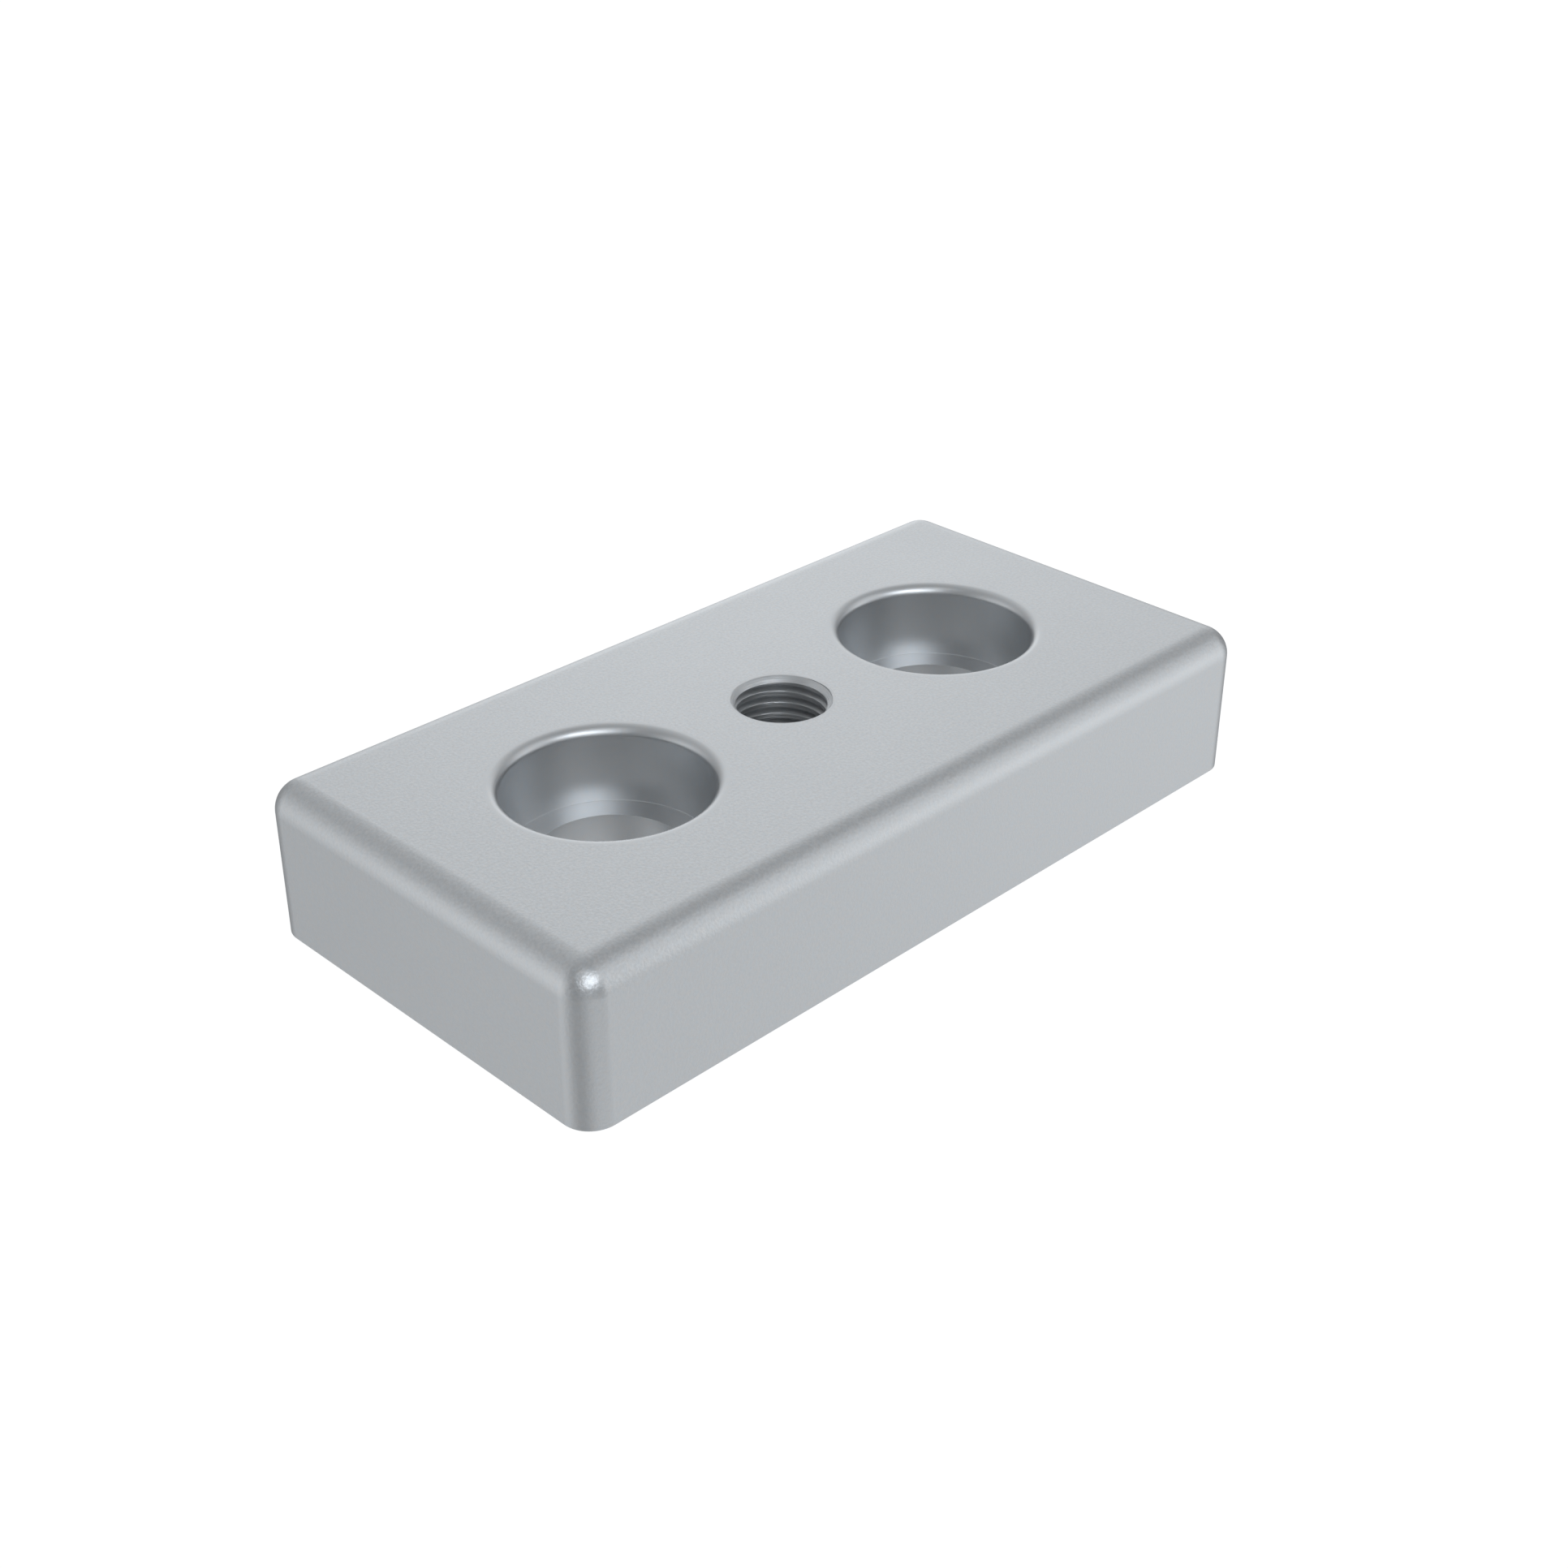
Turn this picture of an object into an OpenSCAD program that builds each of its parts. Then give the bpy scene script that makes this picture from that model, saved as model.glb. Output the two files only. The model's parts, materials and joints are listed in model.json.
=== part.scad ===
// End plate for a 45 x 90 mm profile.
// Two counterbored screw holes hold it to the profile's end, and a tapped hole
// in the centre takes a levelling foot or a castor stud.
// The origin is the centre of the underside. X runs along the plate, Z points up.

/* [Plate] */
// Length of the plate, along X
plate_length = 90; // [85:5:160]
// Width of the plate, along Y
plate_width = 45; // [36:1:80]
// Thickness of the plate, along Z
plate_thickness = 16; // [13:1:30]
// Radius of the four upright corners, seen from above
corner_r = 3; // [3:0.5:6]
// Radius of the rounded edge all round the top face
edge_r = 3; // [0.5:0.5:3]

/* [Screw holes] */
// Distance between the centres of the two screw holes
hole_spacing = 45; // [42:1:50]
// Diameter of each hole, clear of an M12 screw
hole_d = 14.5; // [12.5:0.5:16]
// Diameter of each counterbore, which takes the screw's head
cbore_d = 20; // [18:0.5:24]
// Depth of each counterbore below the top face
cbore_depth = 8; // [4:0.5:11]
// Radius of the rounded mouth of each counterbore
mouth_r = 1; // [0.2:0.1:1.5]
// Radius of the fillet where the counterbore's wall meets its seat
seat_fillet = 0.1; // [0.05:0.05:0.5]
// Radius of the rounded edge between the seat and the hole
seat_edge_r = 0.1; // [0.05:0.05:0.4]

/* [Tapped hole] */
// Outer diameter of the thread in the centre
thread_d = 10; // [8:0.5:12]
// Height of the thread's ridges, from crest to root
thread_h = 0.55; // [0.4:0.05:0.9]
// How much wider than the thread each countersink's mouth is
countersink_extra = 0.1; // [0:0.1:1]

/* [Hidden] */
$fn = 96;

// How far a cut runs on past the face that it leaves by
over = 0.5;

core_length = plate_length - 2 * corner_r;
core_width = plate_width - 2 * corner_r;
hole_r = hole_d / 2;
cbore_r = cbore_d / 2;
seat_z = plate_thickness - cbore_depth;

// The bore is plain here, at the radius of the thread's crests
tapped_r = thread_d / 2 - thread_h;
countersink_r = (thread_d + countersink_extra) / 2;

aluminium = [0.74, 0.745, 0.75];

// What rounding takes off a square corner that stands at the origin,
// with the solid to the right of it and below it
module rounding_waste(r) {
    difference() {
        translate([-over, -r]) square(r + over);
        translate([r, -r]) circle(r = r);
    }
}

// Section through the plate's border, one corner radius wide, with its rounded top edge
module border_section() {
    difference() {
        square([corner_r, plate_thickness]);
        translate([corner_r, plate_thickness]) mirror([1, 0]) rounding_waste(edge_r);
    }
}

// A straight side of the border, run runs along Y and the outside faces +X
module straight_border(run) {
    translate([0, run / 2, 0]) rotate([90, 0, 0]) linear_extrude(run) border_section();
}

// The plate without its holes: a core, four straight borders and four round corners
module blank() {
    translate([-core_length / 2, -core_width / 2, 0]) cube([core_length, core_width, plate_thickness]);
    for (turn = [0, 180]) rotate(turn) {
        translate([core_length / 2, 0, 0]) straight_border(core_width);
        rotate(90) translate([core_width / 2, 0, 0]) straight_border(core_length);
        for (side = [-1, 1]) translate([side * core_length / 2, core_width / 2, 0])
            rotate(side > 0 ? 0 : 90) rotate_extrude(angle = 90) border_section();
    }
}

// Half the section of a counterbored hole, drawn from its axis out
module screw_hole_section() {
    translate([0, -over]) square([hole_r, seat_z + 2 * over]);
    translate([hole_r, seat_z]) rounding_waste(seat_edge_r);
    translate([cbore_r, plate_thickness]) rounding_waste(mouth_r);
    difference() {
        translate([0, seat_z]) square([cbore_r, cbore_depth + over]);
        translate([cbore_r, seat_z]) rotate(180) rounding_waste(seat_fillet);
    }
}

// Half the section of a 45 degree countersink whose mouth lies on the X axis
module countersink_section() {
    polygon([[0, over], [countersink_r + over, over], [0, -countersink_r]]);
}

// Half the section of the tapped hole, with a countersink at each face
module tapped_hole_section() {
    translate([0, -over]) square([tapped_r, plate_thickness + 2 * over]);
    translate([0, plate_thickness]) countersink_section();
    mirror([0, 1]) countersink_section();
}

module base_plate() {
    color(aluminium) difference() {
        blank();
        for (side = [-1, 1]) translate([side * hole_spacing / 2, 0, 0])
            rotate_extrude() screw_hole_section();
        rotate_extrude() tapped_hole_section();
    }
}

base_plate();
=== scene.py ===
import json
import math

import bmesh
import bpy
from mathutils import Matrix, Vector


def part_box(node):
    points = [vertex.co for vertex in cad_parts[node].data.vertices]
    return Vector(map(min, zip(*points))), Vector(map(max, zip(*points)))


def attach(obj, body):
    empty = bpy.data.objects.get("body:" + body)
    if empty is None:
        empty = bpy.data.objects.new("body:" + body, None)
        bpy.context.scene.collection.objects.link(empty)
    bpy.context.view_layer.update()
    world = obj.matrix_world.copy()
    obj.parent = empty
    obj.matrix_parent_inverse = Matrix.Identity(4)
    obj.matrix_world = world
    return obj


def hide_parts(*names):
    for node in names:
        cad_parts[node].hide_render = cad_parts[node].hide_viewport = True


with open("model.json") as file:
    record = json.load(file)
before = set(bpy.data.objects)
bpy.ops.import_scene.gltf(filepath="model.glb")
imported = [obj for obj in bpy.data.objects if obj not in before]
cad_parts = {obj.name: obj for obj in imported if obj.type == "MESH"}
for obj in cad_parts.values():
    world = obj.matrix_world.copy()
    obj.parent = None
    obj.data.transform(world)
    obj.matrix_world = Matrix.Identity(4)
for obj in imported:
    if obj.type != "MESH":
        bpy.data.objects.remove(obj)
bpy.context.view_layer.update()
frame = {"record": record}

mm = 0.001
weldGap = 0.001 * mm  # points closer than this are one point
mounts = {mount["name"]: mount for mount in frame["record"]["mounts"]}
plateLow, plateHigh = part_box("base_plate")
print("frame loaded, plate box", [round(v / mm, 2) for v in plateHigh - plateLow], "mm")


# Shader maths

class Wire:  # an output of a shader node, to write sums on; without a socket it only adds nodes
    def __init__(self, tree, socket=None):
        self.tree = tree
        self.socket = socket

    # settings are the node's own properties, values go to its sockets
    def node(self, kind, settings={}, values={}, output=0):
        made = self.tree.nodes.new(kind)
        for name, value in settings.items():
            setattr(made, name, value)
        for name, value in values.items():
            if isinstance(value, Wire):
                self.tree.links.new(value.socket, made.inputs[name])
            else:
                made.inputs[name].default_value = value
        return Wire(self.tree, made.outputs[output])

    def maths(self, operation, *values):
        return self.node("ShaderNodeMath", {"operation": operation}, dict(enumerate(values)))

    def __add__(self, other):
        return self.maths("ADD", self, other)

    def __radd__(self, other):
        return self.maths("ADD", other, self)

    def __sub__(self, other):
        return self.maths("SUBTRACT", self, other)

    def __rsub__(self, other):
        return self.maths("SUBTRACT", other, self)

    def __mul__(self, other):
        return self.maths("MULTIPLY", self, other)

    def __rmul__(self, other):
        return self.maths("MULTIPLY", other, self)

    def __truediv__(self, other):
        return self.maths("DIVIDE", self, other)

    def root(self):
        return self.maths("SQRT", self)

    def size(self):
        return self.maths("ABSOLUTE", self)

    def exponent(self):
        return self.maths("EXPONENT", self)

    def above(self, edge):
        return self.maths("GREATER_THAN", self, edge)

    def atLeast(self, edge):
        return self.maths("MAXIMUM", self, edge)

    def sway(self, amount):  # turns a mottling from 0 to 1 into one about zero
        return (self - 0.5) * amount


def along(wire, vector, axis):  # how far a vector goes along one axis
    return wire.node("ShaderNodeSeparateXYZ", {}, {"Vector": vector}, output=axis)


def scaled(wire, vector, factor):
    return wire.node("ShaderNodeVectorMath", {"operation": "SCALE"}, {0: vector, "Scale": factor})


def mixed(wire, factor, first, second):  # sockets 6 and 7 are the node's two colours, 2 their mix
    colours = {"Factor": factor, 6: first, 7: second}
    return wire.node("ShaderNodeMix", {"data_type": "RGBA"}, colours, output=2)


def newMaterial(name):
    material = bpy.data.materials.new(name)
    material.use_nodes = True
    return material, Wire(material.node_tree)


def wireUp(tree, inputs):  # what varies is linked to the Principled shader, the rest is set on it
    shader = tree.nodes["Principled BSDF"]
    for name, value in inputs.items():
        if isinstance(value, Wire):
            tree.links.new(value.socket, shader.inputs[name])
        else:
            shader.inputs[name].default_value = value


# Camera, at the photo's angle

viewPoint = {
    "place": (-132.85, -133.16, 114.97),  # mm
    "turn": 45.0,  # degrees from +X towards +Y
    "dip": 30.0,  # degrees below the horizon
    "lens": 50.0,  # mm
    "sensor": 36.0,  # mm
    "nearest": 5.0,  # mm, what is closer isn't seen
}


def addCamera():
    camera = bpy.data.objects.new("camera", bpy.data.cameras.new("camera"))
    camera.data.lens = viewPoint["lens"]
    camera.data.sensor_width = viewPoint["sensor"]
    camera.data.clip_start = viewPoint["nearest"] * mm
    camera.location = Vector(viewPoint["place"]) * mm
    camera.rotation_euler = (math.radians(90 - viewPoint["dip"]), 0, math.radians(viewPoint["turn"] - 90))
    bpy.context.scene.collection.objects.link(camera)
    bpy.context.scene.camera = camera


# The plate

skinSlot = 0  # the blasted outside
boredSlot = 1  # the walls of the holes

plateLook = {  # sizes in mm
    "edgeRadius": 3.0,  # round the top face and up the corners
    "edgeSteps": 16,  # facets across it
    "mouthRadius": 1.0,  # counterbore's mouth
    "mouthSteps": 10,
    "seatHeight": 8.0,  # counterbore's floor, above the underside
    "seatFillet": 0.08,  # all round that floor
    "seatSteps": 4,
    "brokenEdge": 0.03,  # the underside's edge, and other cut edges
    "brokenSteps": 3,
    "rimBand": 0.3,  # flat band that keeps the shading of a face clean
    "roundSteps": 144,  # facets round a hole
    "crispAngle": 25.0,  # degrees; faces that meet more sharply have a crisp edge
    "flatWeight": 80,  # how much the large flat faces rule the shading beside them
}


def arcPoints(centre, radius, start, end, steps):  # angles in degrees, points as pairs
    turns = [math.radians(start + (end - start) * i / steps) for i in range(steps + 1)]
    return [(centre[0] + radius * math.cos(t), centre[1] + radius * math.sin(t)) for t in turns]


def outlineLoop(mesh, inset, height):  # the plate's outline, drawn in by the inset
    look = plateLook
    halfLength = (plateHigh.x - plateLow.x) / 2 / mm - inset
    halfWidth = (plateHigh.y - plateLow.y) / 2 / mm - inset
    radius = max(look["edgeRadius"] - inset, 0.0)
    loop = []
    for corner, (right, back) in enumerate([(1, 1), (-1, 1), (-1, -1), (1, -1)]):
        centre = (right * (halfLength - radius), back * (halfWidth - radius))
        for x, y in arcPoints(centre, radius, 90 * corner, 90 * corner + 90, look["edgeSteps"]):
            loop.append(mesh.verts.new((x * mm, y * mm, height * mm)))
    return loop


def ringLoop(mesh, centre, radius, height):  # the centre is in metres, as a mount gives it
    loop = []
    for i in range(plateLook["roundSteps"]):
        turn = 2 * math.pi * i / plateLook["roundSteps"]
        x = centre[0] + radius * mm * math.cos(turn)
        y = centre[1] + radius * mm * math.sin(turn)
        loop.append(mesh.verts.new((x, y, height * mm)))
    return loop


def bridge(mesh, loops, slot):  # each loop is joined to the next
    for below, above in zip(loops, loops[1:]):
        for i in range(len(below)):
            j = (i + 1) % len(below)
            face = mesh.faces.new((below[i], below[j], above[j], above[i]))
            face.material_index = slot
            face.smooth = True


def sinkHole(mesh, centre, profile):  # a round hole, from its (radius, height) points
    bridge(mesh, [ringLoop(mesh, centre, radius, height) for radius, height in profile], boredSlot)


def newObject(name, mesh):
    data = bpy.data.meshes.new(name)
    mesh.to_mesh(data)
    mesh.free()
    made = bpy.data.objects.new(name, data)
    bpy.context.scene.collection.objects.link(made)
    return made


def screwHoleProfile(boreRadius, holeRadius):  # from the top face down to the underside
    look = plateLook
    top, seat = plateHigh.z / mm, look["seatHeight"]
    mouth, fillet, broken = look["mouthRadius"], look["seatFillet"], look["brokenEdge"]
    points = [(boreRadius + mouth + look["rimBand"], top)]
    points += arcPoints((boreRadius + mouth, top - mouth), mouth, 90, 180, look["mouthSteps"])
    points += arcPoints((boreRadius - fillet, seat + fillet), fillet, 0, -90, look["seatSteps"])
    points += arcPoints((holeRadius + broken, seat - broken), broken, 90, 180, look["brokenSteps"])
    points += arcPoints((holeRadius + broken, broken), broken, 180, 270, look["brokenSteps"])
    return points + [(holeRadius + look["rimBand"], 0)]


threadLook = {  # sizes in mm
    "rootRadius": 5.0,  # M10
    "pitch": 1.25,
    "rootFlat": 0.156,
    "flankAngle": 30.0,  # degrees from level
    "crestBreak": 0.03,  # how far in the crest's edges are broken
    "countersink": 5.0,  # mouth radius of both countersinks
    "facingDepth": 1.54,  # depth of a crest's upper edge, on the far side of the hole
    "facingTurn": 45.0,  # degrees, where that depth is measured
    "stepsPerTurn": 144,
    "cutterReach": 0.25,  # how far the cutter stands out of the groove, into the empty bore
    "spareTurns": 2,  # how far it runs on past each face
}


def tappedHoleProfile(boreRadius):
    look = plateLook
    top = plateHigh.z / mm
    mouth = threadLook["countersink"]
    depth = mouth - boreRadius
    broken = look["brokenEdge"]
    points = [(mouth + look["rimBand"], top), (mouth + broken, top), (mouth - broken, top - broken)]
    points += [(boreRadius, top - depth), (boreRadius, depth)]
    return points + [(mouth - broken, broken), (mouth + broken, 0), (mouth + look["rimBand"], 0)]


def buildBlank():  # the outer skin and the walls of the three holes, without the two flat faces
    look = plateLook
    top = plateHigh.z / mm
    edge, broken = look["edgeRadius"], look["brokenEdge"]
    mesh = bmesh.new()
    # each point of the skirt is how far in from the outline it lies, and its height
    skirt = [(look["rimBand"], 0.0)]
    skirt += [(broken - x, z) for x, z in arcPoints((0, broken), broken, -90, 0, look["brokenSteps"])]
    skirt += [(edge - x, z) for x, z in arcPoints((0, top - edge), edge, 0, 90, look["edgeSteps"])]
    skirt.append((edge + look["rimBand"], top))
    bridge(mesh, [outlineLoop(mesh, inset, height) for inset, height in skirt], skinSlot)
    for name in ("left", "right"):
        bore, hole = mounts["counterbore_" + name], mounts["screw_hole_" + name]
        sinkHole(mesh, bore["pos_m"], screwHoleProfile(bore["dims"]["r_mm"], hole["dims"]["r_mm"]))
    thread = mounts["centre_thread"]
    sinkHole(mesh, thread["pos_m"], tappedHoleProfile(thread["dims"]["r_mm"]))
    bmesh.ops.remove_doubles(mesh, verts=mesh.verts, dist=weldGap)
    return mesh


def finishBlank(mesh):
    # the two flat faces are filled between their loops
    for height, up in ((plateHigh.z, 1), (plateLow.z, -1)):
        edges = [edge for edge in mesh.edges
                 if edge.is_boundary and all(abs(end.co.z - height) < weldGap for end in edge.verts)]
        made = bmesh.ops.triangle_fill(mesh, edges=edges, use_beauty=True, normal=(0, 0, up))
        for face in made["geom"]:
            if isinstance(face, bmesh.types.BMFace):
                face.smooth = True
    bmesh.ops.recalc_face_normals(mesh, faces=mesh.faces)
    return newObject("basePlate", mesh)


def buildThreadCutter():  # a right-hand helix whose section is the groove between two crests
    look = threadLook
    bore = mounts["centre_thread"]["dims"]["r_mm"]
    slope = math.tan(math.radians(look["flankAngle"]))
    inner = bore - look["cutterReach"]
    brokenAt = bore + look["crestBreak"]
    rootHalf = look["rootFlat"] / 2
    flankHalf = rootHalf + (look["rootRadius"] - brokenAt) * slope
    # inside the flanks the section flares out, which breaks the crests' edges
    innerHalf = flankHalf + (brokenAt - inner) / slope
    section = [(inner, -innerHalf), (brokenAt, -flankHalf), (look["rootRadius"], -rootHalf),
               (look["rootRadius"], rootHalf), (brokenAt, flankHalf), (inner, innerHalf)]
    # the groove lies above the crest whose upper edge was measured
    crestEdge = flankHalf + (brokenAt - bore) / slope
    grooveHeight = plateHigh.z / mm - look["facingDepth"] + crestEdge
    steps = look["stepsPerTurn"]
    turnsDown = int(grooveHeight / look["pitch"]) + look["spareTurns"]
    turnsUp = int((plateHigh.z / mm - grooveHeight) / look["pitch"]) + look["spareTurns"]
    mesh = bmesh.new()
    stations = []
    for i in range(-turnsDown * steps, turnsUp * steps + 1):
        turn = 2 * math.pi * i / steps
        lift = grooveHeight + look["pitch"] * (i / steps - look["facingTurn"] / 360)
        places = [(r * mm * math.cos(turn), r * mm * math.sin(turn), (z + lift) * mm) for r, z in section]
        stations.append([mesh.verts.new(place) for place in places])
    bridge(mesh, stations, boredSlot)
    mesh.faces.new(stations[0])
    mesh.faces.new(reversed(stations[-1]))
    bmesh.ops.triangulate(mesh, faces=mesh.faces)
    bmesh.ops.recalc_face_normals(mesh, faces=mesh.faces)
    return newObject("threadCutter", mesh)


def cutThread(plate, cutter):
    cut = plate.modifiers.new("thread", "BOOLEAN")
    cut.operation = "DIFFERENCE"
    cut.solver = "EXACT"
    cut.object = cutter
    bpy.context.view_layer.update()
    cutMesh = bpy.data.meshes.new_from_object(plate.evaluated_get(bpy.context.evaluated_depsgraph_get()))
    plate.modifiers.clear()
    plate.data = cutMesh
    bpy.data.objects.remove(cutter)
    # the cut leaves twin points where its edges run along the bore's
    mesh = bmesh.new()
    mesh.from_mesh(cutMesh)
    bmesh.ops.remove_doubles(mesh, verts=mesh.verts, dist=weldGap)
    mesh.to_mesh(cutMesh)
    mesh.free()


def shadePlate(plate):
    plate.data.set_sharp_from_angle(angle=math.radians(plateLook["crispAngle"]))
    weights = plate.modifiers.new("normals", "WEIGHTED_NORMAL")
    weights.mode = "FACE_AREA"
    weights.weight = plateLook["flatWeight"]
    weights.keep_sharp = True


# The two finishes

metalColour = {  # the metal's specks lie between these two
    "cool": (0.62, 0.66, 0.695, 1),
    "warm": (0.675, 0.66, 0.65, 1),
}


def specks(wire, place, size, detail=1.0):  # an even mottling, 0 to 1; size in mm
    values = {"Vector": place, "Scale": 1 / (size * mm), "Detail": detail}
    return wire.node("ShaderNodeTexNoise", {}, values)


def speckledMetal(wire, warmth, shade):  # warm and cool specks, over light and dark ones
    return scaled(wire, mixed(wire, warmth, metalColour["cool"], metalColour["warm"]), shade)


blastedLook = {
    "roughness": 0.385,
    "grain": 0.28,  # mm, the blasting's fine pits
    "grainDepth": 0.012,  # mm
    "grainShade": 0.28,  # how much paler a high spot is than a pit, on the top
    "sideShade": 0.08,  # the same on the sides
    "grainRoughness": 0.08,  # how much rougher a high spot is
    "roundedGrain": 1.5,  # how much deeper the grain is on the rounded edges
    "roundedRoughness": 0.04,  # how much rougher those are
    "speck": 0.4,  # mm, warm and cool
    "patch": 7.0,  # mm
    "patchDetail": 3.0,
    "patchShade": 0.02,
    "patchRoughness": 0.05,
}


def blastedMetal():
    look = blastedLook
    material, wire = newMaterial("blastedMetal")
    place = wire.node("ShaderNodeTexCoord", output="Object")
    facing = wire.node("ShaderNodeTexCoord", output="Normal")
    grain = specks(wire, place, look["grain"])
    patches = specks(wire, place, look["patch"], look["patchDetail"])
    warmth = specks(wire, place, look["speck"])
    x, y, z = (along(wire, facing, axis) for axis in "XYZ")
    # 0 on a flat face, 0.4 half way round an edge, 0.7 in the middle of a corner
    rounded = x.size() + y.size() + z.size() - 1
    grainShade = look["sideShade"] + (look["grainShade"] - look["sideShade"]) * z.atLeast(0)
    shade = 1 + grain.sway(grainShade) + patches.sway(look["patchShade"])
    roughness = look["roughness"] + look["roundedRoughness"] * rounded
    roughness = roughness + grain.sway(look["grainRoughness"]) + patches.sway(look["patchRoughness"])
    height = grain * (1 + look["roundedGrain"] * rounded)
    wireUp(material.node_tree, {
        "Base Color": speckledMetal(wire, warmth, shade),
        "Metallic": 1.0,
        "Roughness": roughness,
        "Normal": wire.node("ShaderNodeBump", {}, {"Height": height, "Distance": look["grainDepth"] * mm}),
    })
    return material


boredLook = {
    "roughness": 0.385,
    "toolMark": 0.09,  # mm between the marks that the cutter left
    "markLength": 2.5,  # mm
    "markDetail": 2.0,
    "markShade": 0.03,
    "markRoughness": 0.1,
    "drillMarks": 0.05,  # mm deep, on the thread's crests and the countersinks
    "tapMarks": 0.004,  # mm deep, in the thread's groove
    "boreMarks": 0.002,  # mm deep, in the two screw holes
    "tapShade": 0.1,  # how much darker the tapped hole is painted below its countersinks, a painted shade of the deep hole
    "sinkDepth": 0.61,  # mm below either face, just past the countersinks
    "grain": 0.5,  # mm
    "grainDetail": 2.0,
    "grainDepth": 0.004,  # mm
    "patch": 5.0,  # mm
    "patchDetail": 3.0,
    "patchShade": 0.02,
    "patchRoughness": 0.06,
}


def boredMetal():  # fine rings round each hole's own axis
    look = boredLook
    material, wire = newMaterial("boredMetal")
    place = wire.node("ShaderNodeTexCoord", output="Object")
    x, y, z = (along(wire, place, axis) for axis in "XYZ")
    holePlace = mounts["screw_hole_right"]["pos_m"][0]
    side = x.size().above(holePlace / 2)  # 1 round the two screw holes, 0 round the thread
    across = x.size() - side * holePlace
    radius = (across * across + y * y).root()
    # the marks are a fine mottling, drawn out along the rings
    rings = wire.node("ShaderNodeCombineXYZ", {}, {
        "X": radius / look["toolMark"], "Y": z / look["toolMark"], "Z": (x + y) / look["markLength"]})
    marks = specks(wire, rings, size=1.0, detail=look["markDetail"])
    grain = specks(wire, place, look["grain"], look["grainDetail"])
    patches = specks(wire, place, look["patch"], look["patchDetail"])
    # round the thread, sunk is 1 in the countersinks, crests 1 on its crests, and drilled 1 on both
    sunk = (z - plateHigh.z / 2).size().above(plateHigh.z / 2 - look["sinkDepth"] * mm)
    crests = 1 - radius.above((mounts["centre_thread"]["dims"]["r_mm"] + threadLook["crestBreak"]) * mm)
    drilled = crests.atLeast(sunk)
    shade = 1 + patches.sway(look["patchShade"]) + marks.sway(look["markShade"])
    # painted shade: the tapped hole below its countersinks is darkened, as if shade fell deep in it
    shade = shade - look["tapShade"] * (1 - sunk) * (1 - side)
    roughness = look["roughness"] + marks.sway(look["markRoughness"])
    roughness = roughness + patches.sway(look["patchRoughness"])
    depth = look["tapMarks"] + drilled * (look["drillMarks"] - look["tapMarks"])
    depth = depth + side * (look["boreMarks"] - depth)
    height = marks * depth + grain * look["grainDepth"]
    wireUp(material.node_tree, {
        "Base Color": speckledMetal(wire, grain, shade),
        "Metallic": 1.0,
        "Roughness": roughness,
        "Normal": wire.node("ShaderNodeBump", {}, {"Height": height, "Distance": mm}),
    })
    return material


# Studio

white = (1, 1, 1, 1)

studioLook = {
    "floorSize": 3.0,  # m
    "floorDrop": 0.02,  # mm, how far it lies under the plate
    "floorColour": (0.2, 0.2, 0.2, 1),
    "floorRoughness": 0.9,
    "floorGlow": 0.9,  # lit from inside like a light table, so only a trace of shadow shows
    "above": 0.2,  # plain light from all round
    "level": 0.2,
    "below": 0.3,
    "plainTint": (0.975, 1.0, 1.02),
    "keyTint": (0.95, 1.0, 1.05),  # a little cooler than the rest
}

# round soft lights: turn from +X towards +Y (the camera stands at 225), height above the horizon,
# both in degrees, then width in degrees and strength
keyLights = {  # one long softbox beside the camera, on its right
    "keyLeft": (240, 30, 9, 3.2),
    "keyRight": (265, 35, 8, 3.7),
}
softLights = {
    "right": (315, 0, 15, 1.0),
    "rightHigh": (320, 35, 15, 0.6),  # reaches the bores' walls by way of their seats
    "rightLow": (330, -30, 15, 0.5),  # the long side mirrors it
    "left": (150, 0, 20, 0.7),
    "leftHigh": (130, 25, 20, 0.25),
    "leftLow": (145, -40, 20, 0.35),  # the short side mirrors it
    "behind": (50, 10, 15, 1.0),  # the top's far end mirrors it
    "behindRight": (20, 25, 12, 0.4),  # and the right end this one
    "behindHigh": (65, 55, 25, 0.4),  # the top's near end mirrors it
    "frontLow": (245, -30, 20, 0.35),  # the upright corner mirrors it
    "frontHigh": (225, 60, 10, 0.7),  # the far side of the countersink mirrors it
    "under": (290, -60, 15, 0.7),  # shows through the holes
}


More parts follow.
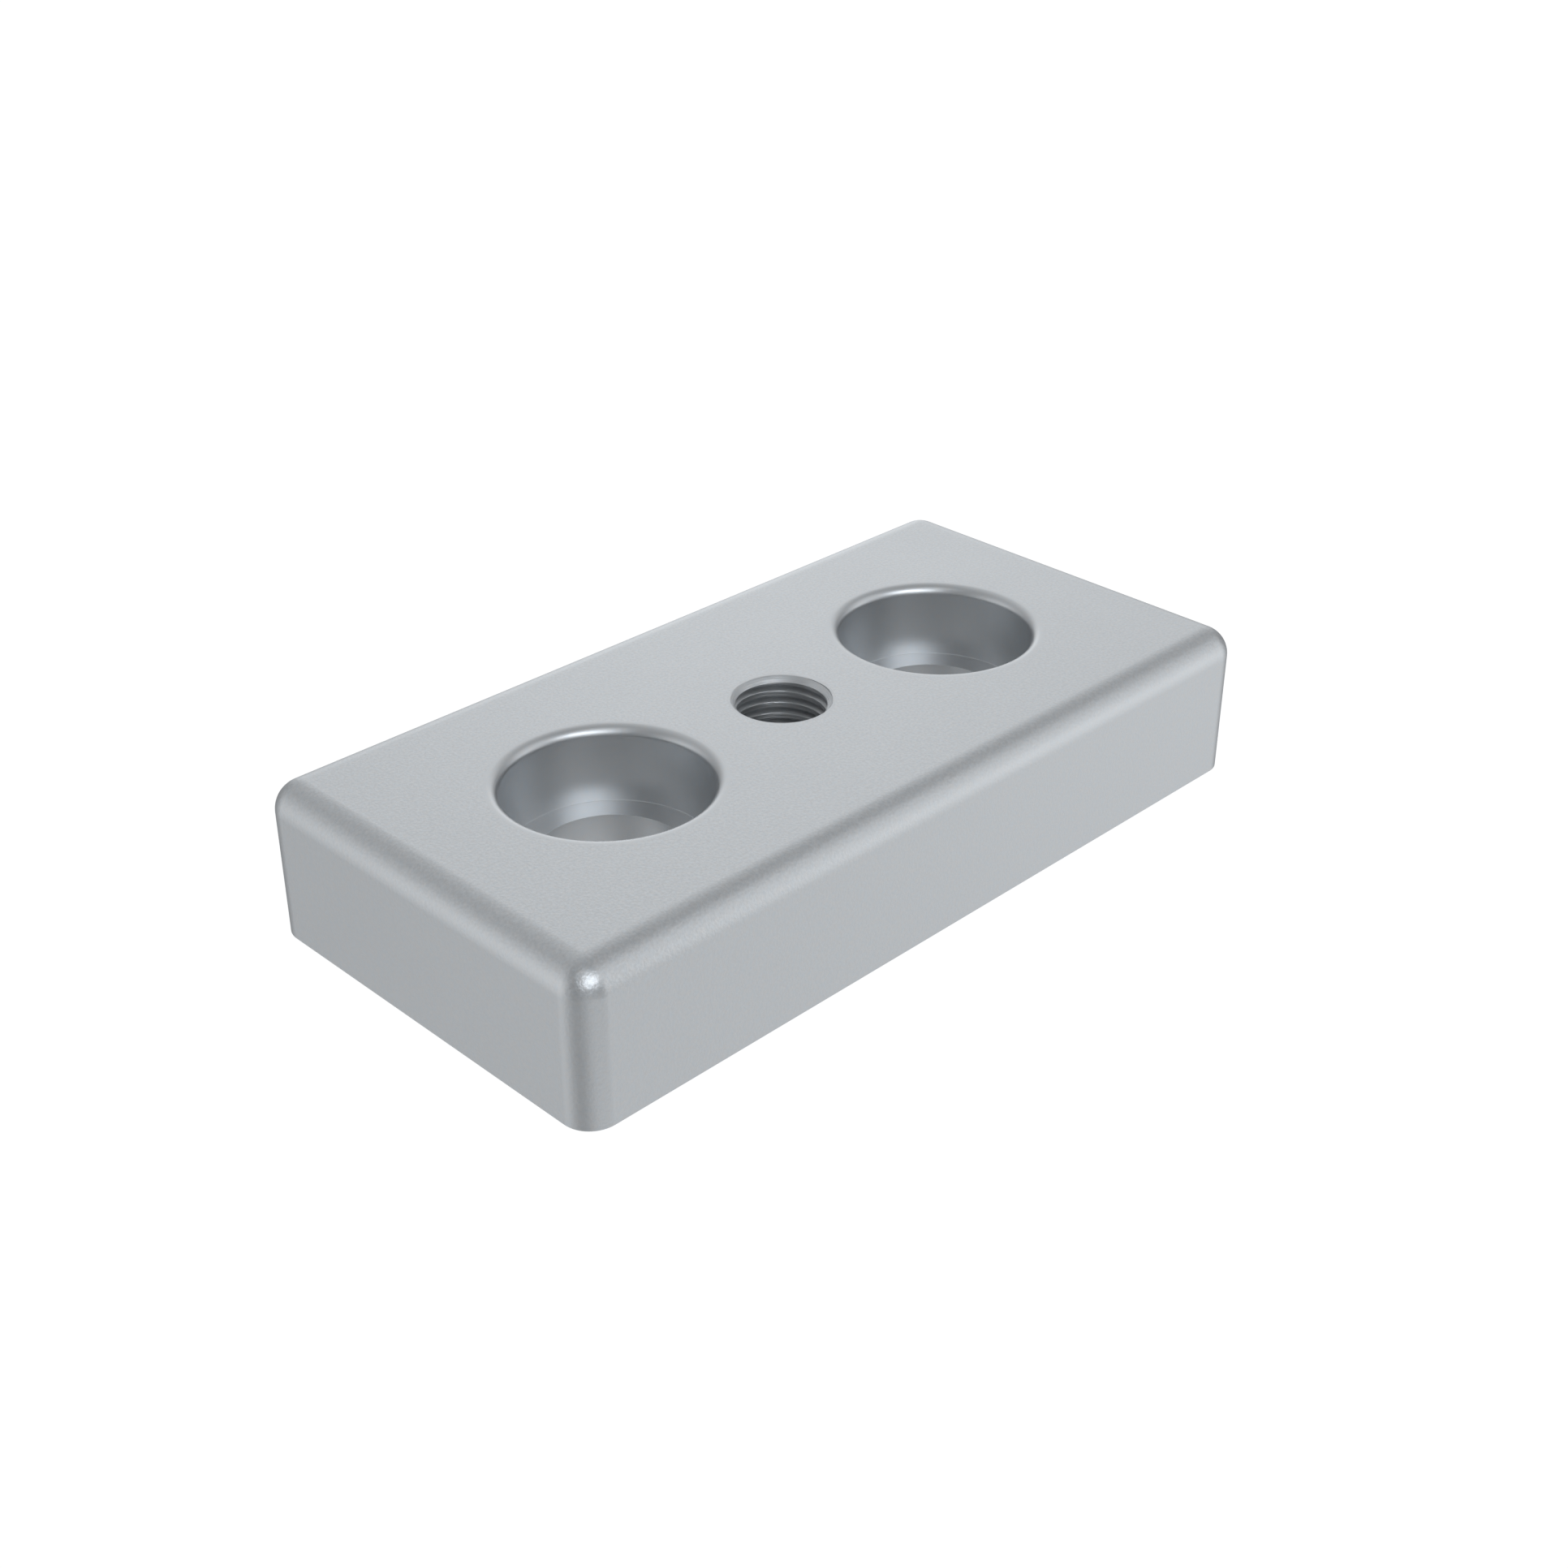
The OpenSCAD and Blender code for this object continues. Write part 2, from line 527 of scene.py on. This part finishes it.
def addFloor():
    look = studioLook
    half = look["floorSize"] / 2
    data = bpy.data.meshes.new("floor")
    corners = [(-half, -half, 0), (half, -half, 0), (half, half, 0), (-half, half, 0)]
    data.from_pydata(corners, [], [(0, 1, 2, 3)])
    floor = bpy.data.objects.new("floor", data)
    floor.location.z = -look["floorDrop"] * mm
    floor.visible_glossy = False  # the metal mirrors the studio's light from below, not the floor
    floor.visible_shadow = False
    bpy.context.scene.collection.objects.link(floor)
    material, wire = newMaterial("paleFloor")
    wireUp(material.node_tree, {"Base Color": look["floorColour"], "Roughness": look["floorRoughness"],
                                "Emission Color": white, "Emission Strength": look["floorGlow"]})
    data.materials.append(material)


def softGlow(wire, direction, turn, lift, width, strength):  # a round light that fades towards its rim
    turn, lift, width = (math.radians(angle) for angle in (turn, lift, width))
    sharpness = 1 / width ** 2
    towards = Vector((math.cos(lift) * math.cos(turn), math.cos(lift) * math.sin(turn), math.sin(lift)))
    facing = wire.node("ShaderNodeVectorMath", {"operation": "DOT_PRODUCT"},
                       {0: direction, 1: towards * sharpness}, output="Value")
    # this is strength * e ** ((cosine - 1) * sharpness) in the fewest nodes, which render faster
    return (facing + (math.log(strength) - sharpness)).exponent()


def addLight():  # a white backdrop for the camera, and the soft lights for everything else
    look = studioLook
    world = bpy.data.worlds.new("studio")
    world.use_nodes = True
    wire = Wire(world.node_tree)
    direction = wire.node("ShaderNodeTexCoord", output="Generated")
    height = along(wire, direction, "Z")
    plain = (1 - height.size()) * look["level"]
    plain = plain + height.atLeast(0) * look["above"] + (0 - height).atLeast(0) * look["below"]
    plain = sum((softGlow(wire, direction, *light) for light in softLights.values()), plain)
    key = sum(softGlow(wire, direction, *light) for light in keyLights.values())
    studio = wire.node("ShaderNodeVectorMath", {"operation": "ADD"},
                       {0: scaled(wire, look["plainTint"], plain), 1: scaled(wire, look["keyTint"], key)})
    seen = wire.node("ShaderNodeLightPath", output="Is Camera Ray")
    colour = mixed(wire, seen, studio, white)
    world.node_tree.links.new(colour.socket, world.node_tree.nodes["Background"].inputs["Color"])
    bpy.context.scene.world = world
    bpy.context.scene.view_settings.view_transform = "Standard"


# The scene

addCamera()
plate = finishBlank(buildBlank())
print("blank built,", len(plate.data.polygons), "faces")
cutter = buildThreadCutter()
for material in (blastedMetal(), boredMetal()):  # in the order of their slots
    plate.data.materials.append(material)
    cutter.data.materials.append(material)
print("finishes made:", ", ".join(plate.data.materials.keys()))
cutThread(plate, cutter)
print("thread cut,", len(plate.data.polygons), "faces")
shadePlate(plate)
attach(plate, "root")
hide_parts("base_plate")
addFloor()
addLight()
print("studio lit by", len(keyLights) + len(softLights), "soft lights")
